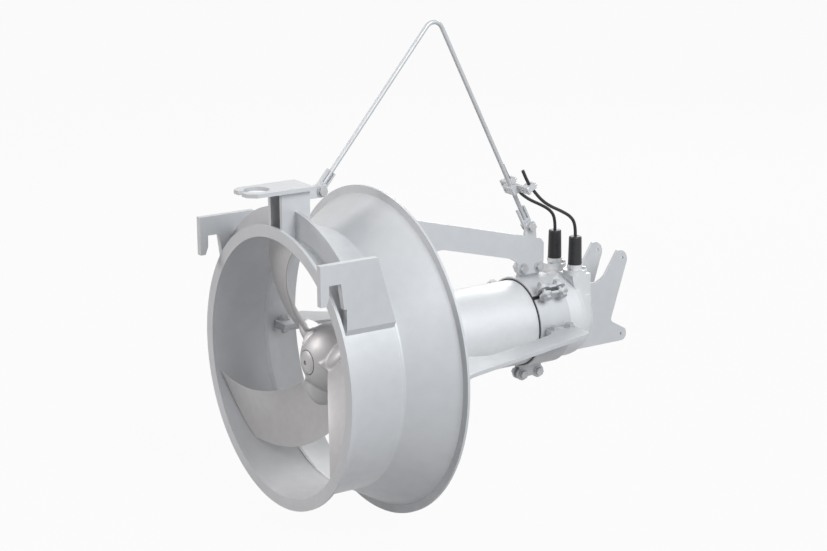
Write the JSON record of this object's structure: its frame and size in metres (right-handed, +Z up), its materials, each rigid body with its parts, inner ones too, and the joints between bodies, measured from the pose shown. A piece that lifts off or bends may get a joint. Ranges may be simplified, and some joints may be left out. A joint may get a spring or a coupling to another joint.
{
  "type": "submersible recirculation pump",
  "caption": "Submersible axial pump: a steel throat ring with inlet bell and propeller, an inline motor on radial arms, a lifting bail, hanging hooks and cable glands.",
  "frame": {"origin": "on the propeller's axis, in the front face of the discharge ring", "axes": "+X along the shaft from the discharge ring to the motor's cable head, +Z up towards the lifting bail, +Y towards the far side of the picture; the longest extent is along Z and the shortest along Y"},
  "size_m": [1.4, 1.026, 1.5147],
  "materials": {
    "painted_steel": "fine bead blasted stainless sheet",
    "cast_steel": "bead blasted, light casting grain",
    "propeller_steel": "bead blasted casting with ground edges",
    "fastener_steel": "satin",
    "bright_steel": "satin drawn bar",
    "bearing_steel": "ground and polished",
    "lamination_steel": "varnished laminations",
    "copper": "varnished winding copper",
    "carbide": "lapped carbide",
    "insulator": "moulded",
    "rubber": "moulded black rubber",
    "cable_rubber": "smooth black sheath"
  },
  "bodies": {
    "frame": {"bail_rod": "bright_steel", "bar_saddle": "painted_steel", "bearing_bracket": "cast_steel", "bearing_outer_rings": "bearing_steel", "bell_brackets": "painted_steel", "cable_bar": "painted_steel", "cable_bushes": "rubber", "cable_clips": "painted_steel", "cable_left": "cable_rubber", "cable_right": "cable_rubber", "cable_sleeve_left": "rubber", "cable_sleeve_right": "rubber", "clamp_liner": "rubber", "clamp_left": "painted_steel", "clamp_right": "painted_steel", "clamp_top": "painted_steel", "clip_screws": "fastener_steel", "connection_head": "cast_steel", "discharge_ring": "painted_steel", "end_windings": "copper", "flange_screws": "fastener_steel", "front_bail_lug": "painted_steel", "front_cover": "cast_steel", "front_yoke": "painted_steel", "gland_flange_left": "cast_steel", "gland_flange_right": "cast_steel", "gland_screws": "fastener_steel", "guide_plate": "painted_steel", "hex_bolts": "fastener_steel", "hex_nuts": "fastener_steel", "hook_left": "painted_steel", "hook_right": "painted_steel", "inlet_bell": "painted_steel", "left_arm": "painted_steel", "lift_column": "painted_steel", "motor_housing": "cast_steel", "o_rings": "rubber", "plain_washers": "fastener_steel", "rear_plate_left": "painted_steel", "rear_plate_right": "painted_steel", "rear_yoke": "painted_steel", "right_arm": "painted_steel", "seal_seat": "carbide", "stator_core": "lamination_steel", "stiffener_left": "painted_steel", "stiffener_right": "painted_steel", "terminal_block": "insulator", "throat_shell": "painted_steel", "top_arm": "painted_steel"},
    "rotor": {"propeller": "propeller_steel", "hub_cap": "bright_steel", "cap_screw": "fastener_steel", "drive_key": "bright_steel", "shaft": "bright_steel", "rotor_core": "lamination_steel", "seal_ring": "carbide", "bearing_inner_rings": "bearing_steel", "bearing_balls": "bearing_steel"}
  },
  "joints": [
    {"name": "propeller_spin", "type": "hinge", "parent": "frame", "child": "rotor", "pos_m": [0, 0, 0], "axis": [1, 0, 0], "continuous": true}
  ]
}
